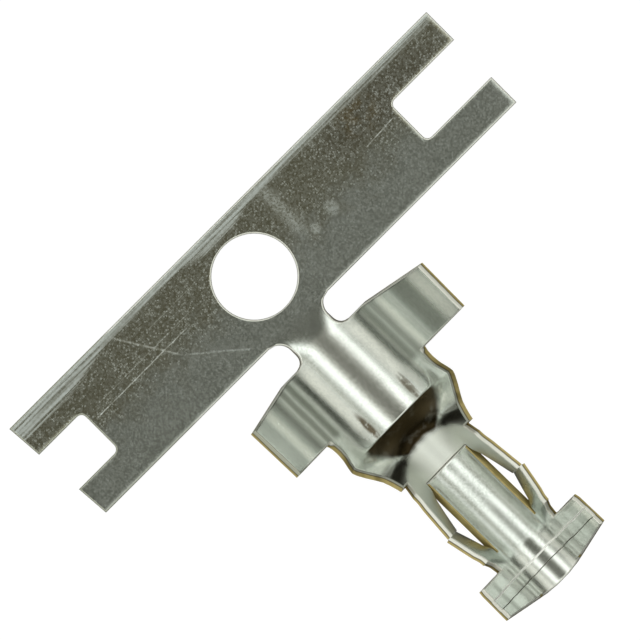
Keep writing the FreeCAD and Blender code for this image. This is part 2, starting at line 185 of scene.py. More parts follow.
def free_edge(d):
    """Reach of the free edge on the outer face."""
    if d <= SHOULDER_AT + TINY:
        rows = ((0.0, 1.222), (2.967, 1.222), (3.03, 1.196), (3.18, 1.186), (3.33, 1.20), (3.47, 1.235),
                (3.574, 1.255), (3.644, 1.232), (3.782, 1.158), (3.921, 1.073), (4.06, 0.994),
                (4.199, 0.945), (4.338, 0.907), (SHOULDER_AT, SHOULDER_REACH))
    else:
        rows = ((SHOULDER_AT, COLLAR_REACH), (COLLAR_END, 0.83), (ROOT_AT, 0.81), (6.45, 0.755),
                (TIP_START, 0.735))
    return table(d, rows)


# Slight waves pressed into the walls: place along the developed width, width and change of slope
BARREL_WAVES = ((1.42, 0.16, 2.2), (1.98, 0.22, 2.6), (-1.66, 0.20, 2.6), (-2.05, 0.10, 1.5))
TIP_WAVES = ((0.62, 0.10, -4.0), (0.98, 0.12, -3.5), (1.22, 0.16, -4.5), (-0.76, 0.12, -4.5),
             (-1.08, 0.14, -3.5))


def wave(w, waves):
    """How far the waves press the wall outwards at a developed width."""
    side = 1.0 if w >= 0 else -1.0
    total = 0.0
    for at, width, degrees in waves:
        if at * side < 0:
            continue
        total += math.radians(degrees) * width / 1.5 * smooth((abs(w) - abs(at)) / width + 0.5)
    return total


def section(d, floor=None, radius=None, slope=None):
    """Floor height, outer bend radius and wall slope of a station, each unless given."""
    floor = floor_height(d) if floor is None else floor
    radius = trough_radius(d) if radius is None else radius
    slope = trough_slope(d) if slope is None else slope
    return floor, radius, slope


def across(d, w, floor=None, radius=None, slope=None):
    """Point of the middle surface at developed width w: (x, z)."""
    floor = floor_height(d, w) if floor is None else floor
    floor, radius, slope = section(d, floor, radius, slope)
    middle = radius - 0.5 * GAUGE
    side = 1.0 if w >= 0 else -1.0
    pressed = 0.0
    if BARREL_START - 0.01 <= d <= WING_END + 0.01:
        pressed = wave(w, BARREL_WAVES)
    elif d > TIP_START:
        pressed = wave(w, TIP_WAVES) * smooth((d - TIP_START) / 0.1)
    w = abs(w)
    bend = middle * slope
    if w <= bend:
        angle = w / middle
        return side * middle * math.sin(angle), floor + radius - middle * math.cos(angle)
    rest = w - bend
    x = middle * math.sin(slope) + rest * math.cos(slope) - pressed * math.sin(slope)
    z = floor + radius - middle * math.cos(slope) + rest * math.sin(slope) + pressed * math.cos(slope)
    return side * x, z


def developed(d, reach):
    """Developed width at which the outer corner of the edge comes to a reach."""
    floor, radius, slope = section(d)
    return (radius - 0.5 * GAUGE) * slope + (reach - radius * math.sin(slope)) / math.cos(slope)


def place(x, d, z):
    """Terminal coordinates to the frame, with the slight lean off square."""
    lean = LEAN * smooth((d - STRIP_FRONT) / (BARREL_START - STRIP_FRONT))
    along = d - STRIP_FRONT
    return Vector((x * math.cos(lean) + along * math.sin(lean),
                   -(STRIP_FRONT + along * math.cos(lean)) + x * math.sin(lean), z))


class SheetMesh:
    """Middle surface of the folded sheet, built patch by patch."""

    def __init__(self):
        self.bm = bmesh.new()
        self.flat = self.bm.verts.layers.float_vector.new("flat")

    def vert(self, point, flat):
        v = self.bm.verts.new(point)
        v[self.flat] = Vector((flat[0], flat[1], 0.0))
        return v

    def grid(self, rows):
        """Quads between rows of (point, flat) pairs of equal count."""
        made = [[self.vert(p, f) for p, f in row] for row in rows]
        for a, b in zip(made, made[1:]):
            for i in range(len(a) - 1):
                self.bm.faces.new((a[i], b[i], b[i + 1], a[i + 1]))
        return made

    def fan(self, corner, points):
        centre = self.vert(*corner)
        ring = [self.vert(p, f) for p, f in points]
        for a, b in zip(ring, ring[1:]):
            self.bm.faces.new((centre, a, b))


def spread(a, b, count):
    """Evenly spaced values from a to b, both included."""
    return [mix(a, b, i / count) for i in range(count + 1)]


def flat_point(x, y):
    return Vector((x, y, 0.5 * GAUGE)), (x, y)


def strip_patches(sheet, front_columns):
    """Carrier strip round the pilot hole, with the half slots at its ends."""
    half = HOLE_PATCH_HALF
    back, front = STRIP_BACK, -STRIP_FRONT
    slot, round_ = WINDOW_HALF, WINDOW_CORNER
    side_rows = (spread(front, -slot, 7) + [-slot + round_]
                 + spread(-slot + round_, slot - round_, 8)[1:] + [slot]
                 + spread(slot, back, 7)[1:])
    rim = [(x, front) for x in spread(-half, front_columns[0], 4)[:-1]]
    rim += [(x, front) for x in front_columns]
    rim += [(x, front) for x in spread(front_columns[-1], half, 4)[1:]]
    rim += [(half, y) for y in side_rows[1:]]
    rim += [(x, back) for x in spread(half, -half, 26)[1:]]
    rim += [(-half, y) for y in reversed(side_rows)][1:-1]
    rings = 9
    rows = []
    for k in range(rings + 1):
        row = []
        for x, y in rim + rim[:1]:
            angle = math.atan2(y, x)
            t = (k / rings) ** 1.3
            row.append(flat_point(mix(PILOT_RADIUS * math.cos(angle), x, t),
                                  mix(PILOT_RADIUS * math.sin(angle), y, t)))
        rows.append(row)
    sheet.grid(rows)
    for side in (1, -1):
        def line(y, places):
            return [flat_point(x, y) for x in places]
        body = [side * x for x in spread(half, WINDOW_START, 30)]
        rows = [line(y, body) for y in side_rows]
        sheet.grid(rows)

        def end_at(y, side=side):
            if side > 0:
                return STRIP_RIGHT
            t = (y - front) / (back - front)
            return -mix(STRIP_LEFT_FRONT, STRIP_LEFT_BACK, t)
        for ys in (side_rows[:8], side_rows[-8:]):
            rows = []
            for y in ys:
                xs = [side * WINDOW_START]
                xs += spread(side * (WINDOW_START + round_), end_at(y), 14)
                rows.append(line(y, xs))
            sheet.grid(rows)
        for sign in (1, -1):
            corner = (side * WINDOW_START, sign * slot)
            centre = (side * (WINDOW_START + round_), sign * (slot - round_))
            arc = []
            for k in range(7):
                a = 0.5 * math.pi * k / 6.0
                arc.append(flat_point(centre[0] - side * round_ * math.cos(a),
                                      centre[1] + sign * round_ * math.sin(a)))
            sheet.fan(flat_point(*corner), arc)


def zone_columns(middle, tongue, leg, edge, flange=None):
    """Developed widths of one row, symmetric, by zones."""
    out = spread(0.0, middle, 10) + spread(middle, tongue, 4)[1:] + spread(tongue, leg, 2)[1:]
    out += spread(leg, edge, 12)[1:]
    if flange is not None:
        out += spread(edge, flange, 3)[1:]
    return [-w for w in reversed(out[1:])] + out


def row_zones(d):
    """Zone borders of a row: middle, tongue side, leg foot, edge and flange."""
    edge = developed(d, free_edge(d))
    if d <= SHOULDER_AT + TINY:
        collar = developed(SHOULDER_AT + 1e-4, COLLAR_REACH)
        shoulder = developed(SHOULDER_AT, SHOULDER_REACH) - collar
        flange, edge = edge, edge - shoulder
        base = developed(BARREL_START, free_edge(BARREL_START)) - shoulder
        t = smooth((d - CREASE_AT) / (SHOULDER_AT - CREASE_AT))
        middle = mix(NECK_FOOT / base, TONGUE_MIDDLE / collar, t)
        tongue = mix(0.62, TONGUE_HALF / collar, t)
        leg = mix(0.67, LEG_FOOT / collar, t)
        return middle * edge, tongue * edge, leg * edge, edge, flange
    if d < ROOT_AT:
        return TONGUE_MIDDLE, TONGUE_HALF, LEG_FOOT, edge, None
    t = smooth((d - ROOT_AT) / (TIP_START - ROOT_AT))
    return mix(TONGUE_MIDDLE, 0.42, t), mix(TONGUE_HALF, 0.55, t), mix(LEG_FOOT, 0.57, t), edge, None


def terminal_row(d, widths):
    """Row of (point, flat) pairs across a station."""
    row = []
    for w in widths:
        x, z = across(d, w)
        row.append((place(x, d, z), (w, -d)))
    return row


def barrel_back(x):
    """Station of the barrel's back edge, which slopes along the wings."""
    return BARREL_START + WING_TAPER * max(0.0, abs(x) - WING_TAPER_START)


def fillet(radius, distance):
    """Half width that a fillet adds at a distance from its straight edge."""
    if distance >= radius:
        return 0.0
    return radius - math.sqrt(max(0.0, radius ** 2 - (radius - distance) ** 2))


def neck_patch(sheet):
    """Neck, whose first row lies in the strip and whose last row is the barrel's. Returns its columns."""
    rows = []
    steps = 22
    for k in range(steps + 1):
        d = mix(STRIP_FRONT, BARREL_START, k / steps)
        half = NECK_HALF + fillet(NECK_FILLET_STRIP, d - STRIP_FRONT)
        half += fillet(NECK_FILLET_BARREL, BARREL_START - d)
        curl = smooth((d - STRIP_FRONT) / (BARREL_START - STRIP_FRONT)) ** 1.2
        row = []
        for x0 in spread(-half, half, 20):
            xb, zb = across(BARREL_START, x0)
            x = mix(x0, xb, curl)
            z = mix(0.5 * GAUGE, zb, curl)
            row.append((place(x, d, z), (x0, -d)))
        rows.append(row)
    sheet.grid(rows)
    return [p[0].x for p in rows[0]]


def barrel_patch(sheet):
    """Barrel with its wings: the back edge slopes, so the rows fan out from it."""
    zones = row_zones(BARREL_START)
    inner = zone_columns(*zones)
    flange = zones[-1]
    left = developed(BARREL_START, WING_REACH_LEFT)
    right = developed(BARREL_START, WING_REACH_RIGHT)
    rows = []
    steps = 24
    for k in range(steps + 1):
        row = []
        taper = 1.0 - WING_END_TAPER * k / steps
        widths = [-w for w in spread(mix(flange, left, taper), flange, 24)][:-1] + inner
        widths += spread(flange, mix(flange, right, taper), 24)[1:]
        for w in widths:
            x, z = across(BARREL_START, w)
            d = mix(barrel_back(x), WING_END, k / steps)
            row.append((place(x, d, z), (w, -d)))
        rows.append(row)
    sheet.grid(rows)


def trough_patches(sheet):
    """Trough, ramp and shoulders, and then the collar."""
    places = spread(WING_END, 3.46, 10)
    places += spread(3.46, 3.60, 14)[1:]
    places += spread(3.60, 4.20, 24)[1:]
    places += spread(4.20, SHOULDER_AT, 6)[1:]
    sheet.grid([terminal_row(d, zone_columns(*row_zones(d))) for d in places])
    places = spread(SHOULDER_AT, COLLAR_END, 6)
    sheet.grid([terminal_row(d, zone_columns(*row_zones(d)[:4])) for d in places])


def tongue_patch(sheet):
    start = COLLAR_END + SHEAR_GAP
    rows = []
    for d in spread(start, ROOT_AT, 34):
        drop = TONGUE_DROP * (1.0 - smooth((d - start) / 1.2))
        row = []
        for w in zone_columns(TONGUE_MIDDLE, TONGUE_HALF, 0.7, 0.8)[14:-14]:
            x, z = across(d, w)
            row.append((place(x, d, z - drop), (w, -d)))
        rows.append(row)
    sheet.grid(rows)


def leg_patches(sheet):
    """Spring legs, bowed out to a knee where the two halves meet in a small step."""
    edge_collar, edge_root = row_zones(COLLAR_END)[3], row_zones(ROOT_AT)[3]
    top_collar = across(COLLAR_END, edge_collar)
    top_root = across(ROOT_AT, edge_root)
    half = 0.5 * GAUGE

    def leg_row(side, d, knee_reach, t, knee_slope):
        """One row of a leg: the plain trough section at its ends, a steeper flat one at the knee."""
        along = (d - COLLAR_END) / (ROOT_AT - COLLAR_END)
        edge = mix(edge_collar, edge_root, along)
        slope = mix(COLLAR_SLOPE, ROOT_SLOPE, along)
        lean = math.radians(mix(slope, knee_slope, t))
        end = top_collar if d <= KNEE_AT else top_root
        top_x = mix(end[0], knee_reach - half * math.sin(lean), t)
        top_z = mix(top_collar[1], top_root[1], along)
        bow = smooth(3.0 * t)
        row = []
        for w in spread(LEG_FOOT, edge, 12):
            x, z = across(d, w, slope=math.radians(slope))
            back = edge - w
            row.append((place(side * mix(x, top_x - back * math.cos(lean), bow), d,
                              mix(z, top_z - back * math.sin(lean), bow)), (side * w, -d)))
        return row if side > 0 else list(reversed(row))

    for side in (1, -1):
        sheet.grid([leg_row(side, d, KNEE_REACH, (d - COLLAR_END) / (KNEE_AT - COLLAR_END), KNEE_SLOPE)
                    for d in spread(COLLAR_END, KNEE_AT, 18)])
        sheet.grid([leg_row(side, d, KNEE_REACH + KNEE_STEP, (ROOT_AT - d) / (ROOT_AT - KNEE_AT),
                            KNEE_LOWER_SLOPE) for d in spread(KNEE_AT + TINY, ROOT_AT, 16)])


def tip_patches(sheet):
    """Root of the legs, then the wire barrel with its wings, whose end edge runs back from the axis."""
    places = spread(ROOT_AT, TIP_START, 10)
    sheet.grid([terminal_row(d, zone_columns(*row_zones(d)[:4])) for d in places])
    zones = row_zones(TIP_START)[:4]
    inner, edge = zone_columns(*zones), zones[3]
    near = 0.006
    places = spread(TIP_START, BAND_START - near, 8) + [BAND_START + near]
    places += spread(BAND_START + near, BAND_END - near, 5)[1:] + [BAND_END + near]
    places += spread(BAND_END + near, TIP_CORNER - 0.05, 4)[1:]

    def tip_widths(d):
        first = developed(d, TIP_REACH - 0.01 * (7.2 - d) / 0.6)
        out = spread(edge, first, 14)[1:]
        return [-w for w in reversed(out)] + inner + out
    rows = [terminal_row(d, tip_widths(d)) for d in places]
    last = places[-1]
    widths = tip_widths(last)
    for k in range(1, 6):
        row = []
        for w in widths:
            x, z = across(last, w)
            t = min(max((abs(x) - TIP_FLAT) / (TIP_REACH - TIP_FLAT), 0.0), 1.0)
            end = mix(TIP_END, TIP_CORNER, t) - 0.012 * (1.0 - smooth(abs(abs(x) - TIP_FLAT) / 0.1))
            d = mix(last, end, k / 5.0)
            row.append((place(x, d, z), (w, -d)))
        rows.append(row)
    sheet.grid(rows)


# Rounding of the sheared side's corner, and the cut edge's profile: share of the thickness and bulge
ROLL = 0.026
MERGE = 0.0004
SHARP = 38.0
THROUGH = ((0.0, 0.0), (0.08, 0.006), (0.5, 0.010), (0.78, 0.006))


def thicken(sheet):
    """Gives the middle surface its two faces and the cut edge between them."""
    bm = sheet.bm
    bmesh.ops.remove_doubles(bm, verts=bm.verts, dist=MERGE)
    bm.normal_update()
    turned = [f for f in bm.faces if f.normal.z < 0 and f.calc_center_median().y > -STRIP_FRONT]
    bmesh.ops.reverse_faces(bm, faces=turned)
    bm.normal_update()
    bm.verts.index_update()
    outward = {}
    for e in bm.edges:
        if len(e.link_faces) != 1:
            continue
        face = e.link_faces[0]
        run = (e.verts[1].co - e.verts[0].co).normalized()
        out = run.cross(face.normal)
        middle = 0.5 * (e.verts[0].co + e.verts[1].co)
        if out.dot(face.calc_center_median() - middle) > 0:
            out = -out
        for v in e.verts:
            outward.setdefault(v.index, []).append(out)
    edge_dir = {}
    for i, dirs in outward.items():
        total = Vector((0.0, 0.0, 0.0))
        for d in dirs:
            total += d
        total = total.normalized()
        spread_ = max(0.55, total.dot(dirs[0]))
        edge_dir[i] = total / spread_

    new = bmesh.new()
    flat = new.verts.layers.float_vector.new("flat")
    depth = new.verts.layers.float.new("depth")
    half = 0.5 * GAUGE

    def add(point, source, through):
        v = new.verts.new(point)
        v[flat] = source[sheet.flat]
        v[depth] = through
        return v

    top, low, profile = {}, {}, {}
    for v in bm.verts:
        n = v.normal
        pressed = BAND_DEPTH if BAND_START < -v[sheet.flat].y < BAND_END else 0.0
        if v.index in edge_dir:
            b = edge_dir[v.index]
            top[v] = add(v.co + n * (half - pressed) - b * ROLL, v, 1.0)
            low[v] = add(v.co - n * half, v, 0.0)
            chain = [low[v]]
            for through, bulge in THROUGH[1:]:
                chain.append(add(v.co + n * (through * GAUGE - half - pressed * through)
                                 + b * (bulge - 0.008), v, through))
            for k in (1, 2):
                a = 0.5 * math.pi * k / 3.0
                chain.append(add(v.co + n * (half - pressed - ROLL * (1.0 - math.sin(a)))
                                 - b * ROLL * (1.0 - math.cos(a)), v, 1.0 - 0.17 * (1.0 - math.sin(a))))
            chain.append(top[v])
            profile[v] = chain
        else:
            top[v] = add(v.co + n * (half - pressed), v, 1.0)
            low[v] = add(v.co - n * half, v, 0.0)
    for f in bm.faces:
        new.faces.new([top[v] for v in f.verts])
        new.faces.new([low[v] for v in reversed(f.verts)])
    for e in bm.edges:
        if len(e.link_faces) != 1:
            continue
        for loop in e.link_loops:
            a, b = loop.vert, loop.link_loop_next.vert
        ca, cb = profile[a], profile[b]
        for k in range(len(ca) - 1):
            face = new.faces.new((ca[k], cb[k], cb[k + 1], ca[k + 1]))
            face.material_index = 1
    for f in new.faces:
        f.smooth = True
    for v in new.verts:
        v.co *= MM
    bm.free()
    return new


def build_terminal():
    sheet = SheetMesh()
    # The neck's first row sets the columns of the strip, so the terminal comes first
    columns = neck_patch(sheet)
    barrel_patch(sheet)
    trough_patches(sheet)
    tongue_patch(sheet)
    leg_patches(sheet)
    tip_patches(sheet)
    strip_patches(sheet, columns)
    new = thicken(sheet)
    mesh = bpy.data.meshes.new("crimp_terminal_sheet")
    new.to_mesh(mesh)
    new.free()
    mesh.set_sharp_from_angle(angle=math.radians(SHARP))
    obj = bpy.data.objects.new("crimp_terminal_sheet", mesh)
    bpy.context.scene.collection.objects.link(obj)
    return obj


# Shader groups


def new_group(name, inputs, outputs):
    group = bpy.data.node_groups.new(name, "ShaderNodeTree")
    for label, kind, default in inputs:
        socket = group.interface.new_socket(label, in_out="INPUT", socket_type=kind)
        if default is not None:
            socket.default_value = default
    for label, kind in outputs:
        group.interface.new_socket(label, in_out="OUTPUT", socket_type=kind)
    start = group.nodes.new("NodeGroupInput")
    end = group.nodes.new("NodeGroupOutput")
    return group, start, end


def maths(tree, kind, a, b=None, c=None, clamp=False):
    node = tree.nodes.new("ShaderNodeMath")
    node.operation = kind
    node.use_clamp = clamp
    for i, item in enumerate((a, b, c)):
        if item is None:
            continue
        if isinstance(item, (int, float)):
            node.inputs[i].default_value = item
        else:
            tree.links.new(item, node.inputs[i])
    return node.outputs[0]


def vector(tree, kind, a, b=None, scale=None):
    node = tree.nodes.new("ShaderNodeVectorMath")
    node.operation = kind
    for i, item in enumerate((a, b)):
        if item is None:
            continue
        if isinstance(item, (tuple, list)):
            node.inputs[i].default_value = item
        else:
            tree.links.new(item, node.inputs[i])
    if scale is not None:
        node.inputs["Scale"].default_value = scale
    return node.outputs["Value"] if kind in ("LENGTH", "DOT_PRODUCT", "DISTANCE") else node.outputs["Vector"]


def step(tree, value, low, high):
    node = tree.nodes.new("ShaderNodeMapRange")
    node.interpolation_type = "SMOOTHSTEP"
    node.inputs["From Min"].default_value = low
    node.inputs["From Max"].default_value = high
    tree.links.new(value, node.inputs["Value"])
    return node.outputs["Result"]


def noise(tree, coords, scale, detail, roughness=0.55):
    node = tree.nodes.new("ShaderNodeTexNoise")
    node.inputs["Scale"].default_value = scale
    node.inputs["Detail"].default_value = detail
    node.inputs["Roughness"].default_value = roughness
    tree.links.new(coords, node.inputs["Vector"])
    return node.outputs["Fac"]


def mix_rgb(tree, factor, a, b):
    node = tree.nodes.new("ShaderNodeMix")
    node.data_type = "RGBA"
    sockets = (node.inputs[0], node.inputs[6], node.inputs[7])
    for socket, item in zip(sockets, (factor, a, b)):
        if isinstance(item, (int, float, tuple)):
            socket.default_value = item
        else:
            tree.links.new(item, socket)
    return node.outputs[2]


def mix_value(tree, factor, a, b):
    return maths(tree, "ADD", times(tree, factor, b),
                 times(tree, inverse(tree, factor), a))


def times(tree, a, b):
    return maths(tree, "MULTIPLY", a, b)


def scaled(tree, value, gain, offset, clamp=False):
    return maths(tree, "MULTIPLY_ADD", value, gain, offset, clamp=clamp)


def apart(tree, a, b):
    """Distance between two values."""
    return maths(tree, "ABSOLUTE", maths(tree, "SUBTRACT", a, b))


def inverse(tree, mask):
    return maths(tree, "SUBTRACT", 1.0, mask)


def larger(tree, a, b):
    """Larger of two masks, of which the first may still be missing."""
    return b if a is None else maths(tree, "MAXIMUM", a, b)


def stretch(tree, value, first, last, soft):
    """Mask that is 1 between two values, with soft ends."""
    return times(tree, step(tree, value, first - soft, first + soft),
                 inverse(tree, step(tree, value, last - soft, last + soft)))


def split_axes(tree, source):
    """First two axes of a vector or colour."""
    split = tree.nodes.new("ShaderNodeSeparateXYZ")
    tree.links.new(source, split.inputs["Vector"])
    return split.outputs["X"], split.outputs["Y"]


def mottle_group():
    """Uneven tin: soft clouds, fine grain, scattered specks and rolling lines along the strip."""
    group, start, end = new_group(
        "tin_mottle", (("Vector", "NodeSocketVector", None), ("Flat", "NodeSocketVector", None)),
        (("Cloud", "NodeSocketFloat"), ("Grain", "NodeSocketFloat"), ("Specks", "NodeSocketFloat"),
         ("Rolling", "NodeSocketFloat")))
    place_ = start.outputs["Vector"]
    lines = vector(group, "MULTIPLY", start.outputs["Flat"], (0.5, 28.0, 1.0))
    cloud = noise(group, place_, 1.6, 4.0, 0.6)
    dense = step(group, noise(group, place_, 2.6, 3.0), 0.36, 0.64)
    cells = group.nodes.new("ShaderNodeTexVoronoi")
    cells.inputs["Scale"].default_value = 30.0
    group.links.new(place_, cells.inputs["Vector"])
    chosen, shade = split_axes(group, cells.outputs["Color"])
    cover = scaled(group, dense, -0.25, 0.75)
    specks = times(group, step(group, maths(group, "SUBTRACT", chosen, cover), -0.15, 0.25),
                   inverse(group, step(group, cells.outputs["Distance"], 0.30, 0.75)))
    grain = scaled(group, noise(group, place_, 26.0, 3.0, 0.6), 0.6,
                   times(group, shade, 0.4))
    group.links.new(cloud, end.inputs["Cloud"])
    group.links.new(grain, end.inputs["Grain"])
    group.links.new(specks, end.inputs["Specks"])
    group.links.new(noise(group, lines, 1.0, 3.0, 0.5), end.inputs["Rolling"])
    return group


def soft_spot(tree, place_, centre, half, noise_=None):
    """Mask of a soft oval spot, broken up by a noise mask where one is given."""
    offset = vector(tree, "MULTIPLY", vector(tree, "SUBTRACT", place_, (centre[0], centre[1], 0.0)),
                    (1.0 / half[0], 1.0 / half[1], 0.0))
    spot = inverse(tree, step(tree, vector(tree, "LENGTH", offset), 0.35, 1.0))
    if noise_ is not None:
        spot = times(tree, spot, noise_)
    return spot


def strip_group():
    """Marks of the carrier strip: burnished band on its back edge, browner upper half, pale column."""
    group, start, end = new_group(
        "strip_marks", (("Flat", "NodeSocketVector", None),),
        (("Band", "NodeSocketFloat"), ("Brown", "NodeSocketFloat"), ("Pale", "NodeSocketFloat"),
         ("Strip", "NodeSocketFloat")))
    flat = start.outputs["Flat"]
    x, y = split_axes(group, flat)
    strip = step(group, y, -STRIP_FRONT - 0.15, -STRIP_FRONT + 0.10)
    left = inverse(group, step(group, x, -3.9, -2.5))
    near_hole = inverse(group, step(group, maths(group, "ABSOLUTE", x), 0.25, 0.85))
    thick = scaled(group, left, 0.17, 0.15)
    thick = scaled(group, near_hole, 0.10, thick)
    streaks = noise(group, vector(group, "MULTIPLY", flat, (0.45, 24.0, 1.0)), 1.0, 4.0, 0.6)
    thick = times(group, thick, scaled(group, streaks, 0.9, 0.55))
    height = maths(group, "SUBTRACT", y, maths(group, "SUBTRACT", STRIP_BACK, thick))
    band = times(group, step(group, height, -0.05, 0.06), step(group, streaks, 0.22, 0.62))
    soft = noise(group, flat, 2.2, 4.0, 0.65)
    brown = step(group, scaled(group, soft, 1.6, maths(group, "ADD", y, -0.75)), -0.50, 0.45)
    brown = times(group, brown, strip)
    column = apart(group, x, 1.16)
    pale = times(group, inverse(group, step(group, column, 0.02, 0.20)),
                 step(group, y, -0.35, 0.25))
    pale = maths(group, "MAXIMUM", pale, soft_spot(group, flat, (1.80, -0.10), (0.17, 0.20)))
    pale = maths(group, "MAXIMUM", pale, soft_spot(group, flat, (1.34, -0.16), (0.13, 0.15)))
    pale = times(group, pale, step(group, noise(group, flat, 22.0, 3.0, 0.7), 0.25, 0.70))
    group.links.new(times(group, band, strip), end.inputs["Band"])
    group.links.new(brown, end.inputs["Brown"])
    group.links.new(pale, end.inputs["Pale"])
    group.links.new(strip, end.inputs["Strip"])
    return group


def painted_ramp_shade_and_matt_group():
    """Painted shade that makes the ramp dark, and the matt collar and legs beyond it."""
    group, start, end = new_group(
        "painted_ramp_shade_and_matt_sheet", (("Vector", "NodeSocketVector", None), ("Flat", "NodeSocketVector", None)),
        (("Shade", "NodeSocketFloat"), ("Matt", "NodeSocketFloat")))
    x, y = split_axes(group, start.outputs["Flat"])
    width = maths(group, "ABSOLUTE", x)
    along = times(group, y, -1.0)
    ragged = scaled(group, noise(group, start.outputs["Vector"], 3.0, 3.0), 0.10, -0.05)
    arch = times(group, times(group, width, width), -0.30)
    below = maths(group, "ADD", maths(group, "ADD", along, arch), ragged)
    past_crease = step(group, along, CREASE_AT - 0.01, CREASE_AT + 0.03)
    beyond = step(group, below, 4.02, 4.17)
    # Painted shade: a dark mask over the ramp past the crease, arched at its lower edge
    shade = times(group, past_crease, inverse(group, beyond))
    climbed = maths(group, "SUBTRACT", along, CREASE_AT)
    reach = scaled(group, times(group, climbed, climbed), 1.75,
                   maths(group, "ADD", width, times(group, ragged, 2.0)))
    bowl = inverse(group, step(group, reach, 0.86, 1.12))
    lobe = times(group, step(group, maths(group, "ADD", along, ragged), 3.93, 4.10), 0.78)
    rim = maths(group, "MAXIMUM", bowl, lobe)
    patchy = noise(group, start.outputs["Vector"], 4.5, 3.0)
    patchy = scaled(group, patchy, 0.5, 0.78, clamp=True)
    shade = times(group, times(group, shade, rim), patchy)
    collar = inverse(group, step(group, along, COLLAR_END - 0.01, COLLAR_END + 0.01))
    leg = times(group, step(group, width, TONGUE_HALF, LEG_FOOT),
                inverse(group, step(group, along, 5.2, 6.3)))
    matt = times(group, beyond, maths(group, "MAXIMUM", collar, leg))
    group.links.new(shade, end.inputs["Shade"])
    group.links.new(matt, end.inputs["Matt"])
    return group


def scratch_group():
    """Mask of one straight scratch in the plane of the strip."""
    group, start, end = new_group(
        "scratch_mask",
        (("Vector", "NodeSocketVector", None), ("Start", "NodeSocketVector", None),
         ("Direction", "NodeSocketVector", None), ("Across", "NodeSocketVector", None),
         ("Length", "NodeSocketFloat", 1.0), ("Width", "NodeSocketFloat", 0.02)),
        (("Mask", "NodeSocketFloat"),))
    local = vector(group, "SUBTRACT", start.outputs["Vector"], start.outputs["Start"])
    along = vector(group, "DOT_PRODUCT", local, start.outputs["Direction"])
    off = vector(group, "DOT_PRODUCT", local, start.outputs["Across"])
    wobble = scaled(group, noise(group, start.outputs["Vector"], 2.0, 1.0), 0.03, -0.015)
    off = maths(group, "ABSOLUTE", maths(group, "ADD", off, wobble))
    near = maths(group, "SUBTRACT", 1.0, maths(group, "DIVIDE", off, start.outputs["Width"]), clamp=True)
    past_end = step(group, maths(group, "SUBTRACT", along, start.outputs["Length"]), -0.15, 0.0)
    inside = times(group, step(group, along, 0.0, 0.15), inverse(group, past_end))
    broken = step(group, noise(group, start.outputs["Vector"], 7.0, 3.0), 0.36, 0.56)
    broken = scaled(group, broken, 0.5, 0.5)
    mask = times(group, times(group, near, inside), broken)
    group.links.new(mask, end.inputs["Mask"])
    return group


# Scratches on the strip: both ends, half width and strength
SCRATCHES = (
    ((-3.73, 0.194), (-1.40, 0.200), 0.016, 0.55),
    ((2.90, 0.206), (3.75, 0.254), 0.016, 0.55),
    ((-3.55, 0.356), (-1.10, 0.362), 0.012, 0.22),
    ((-2.05, 0.655), (-0.80, 0.660), 0.012, 0.22),
    ((-2.53, 1.03), (-1.83, -0.10), 0.030, 0.34),
    ((-1.86, -0.06), (-0.88, -0.89), 0.028, 0.26),
)


def material_tree(name):
    material = bpy.data.materials.new(name)
    material.use_nodes = True
    tree = material.node_tree
    tree.nodes.clear()
    output = tree.nodes.new("ShaderNodeOutputMaterial")
    shader = tree.nodes.new("ShaderNodeBsdfPrincipled")
    tree.links.new(shader.outputs["BSDF"], output.inputs["Surface"])
    return material, tree, shader


def use_group(tree, group, **values):
    node = tree.nodes.new("ShaderNodeGroup")
    node.node_tree = group
    for name, item in values.items():
        socket = node.inputs[name]
        if isinstance(item, (int, float, tuple)):
            socket.default_value = item
        else:
            tree.links.new(item, socket)
    return node


def in_millimetres(tree):
    coords = tree.nodes.new("ShaderNodeTexCoord")
    return vector(tree, "SCALE", coords.outputs["Object"], scale=1000.0)


def attribute(tree, name):
    node = tree.nodes.new("ShaderNodeAttribute")
    node.attribute_name = name
    return node


# Painted highlights (positive) and painted shade (negative) as streaks along the terminal: place and half
# width across the flat sheet, first and last station, strength, and haze that spreads the light
PAINTED_SHEEN_AND_SHADE_STREAKS = (
    (0.05, 0.42, 1.5, 3.50, 0.80, 0.1),
    (-0.63, 0.24, 1.7, 3.30, 1.00, 1.0),
    (0.67, 0.26, 1.7, 3.10, 1.00, 1.0),
    (0.78, 0.18, 2.9, 3.42, 0.80, 1.0),
    (0.25, 0.15, 1.7, 2.95, -0.50, 0.0),
    (-2.22, 0.22, 1.6, 2.98, 1.00, 0.2),
    (1.72, 0.17, 1.6, 2.98, 0.85, 0.2),
    (2.95, 0.36, 1.6, 2.98, 1.00, 0.5),
    (2.25, 0.50, 1.6, 2.98, -0.35, 0.0),
    (1.16, 0.30, 1.6, 2.98, -0.85, 0.0),
    (1.42, 0.20, 1.6, 2.98, -0.70, 0.0),
    (-1.20, 0.24, 1.6, 2.98, -0.92, 0.0),
    (-1.46, 0.20, 1.6, 2.98, -0.85, 0.0),
    (-1.76, 0.30, 1.6, 2.98, -0.65, 0.0),
    (0.57, 0.10, 4.72, 6.2, -0.55, 0.0),
    (0.47, 0.08, 4.72, 6.2, -0.35, 0.0),
    (-0.54, 0.09, 4.72, 6.2, -0.25, 0.0),
    (0.0, 0.20, 5.0, 6.6, -0.15, 0.0),
    (0.0, 1.50, 6.55, 7.6, 0.20, 0.3),
    (0.38, 0.14, 6.65, 7.6, 1.00, 0.7),
    (-0.32, 0.15, 6.65, 7.6, 0.90, 0.5),
    (1.62, 0.12, 6.65, 7.6, 1.00, 0.2),
    (-1.36, 0.12, 6.65, 7.6, -0.50, 0.0),
    (-0.63, 0.07, 6.65, 7.6, -0.60, 0.0),
)

# Depth of the relief in metres
BUMP_DEPTH = 0.000004

# Brown smudges before the ramp: centre in the flat sheet, half size and strength
SMUDGES = (
    ((-0.52, -3.24), (0.10, 0.42), 0.9),
    ((0.55, -3.26), (0.07, 0.38), 0.75),
    ((0.62, -3.20), (0.05, 0.34), 0.6),
)
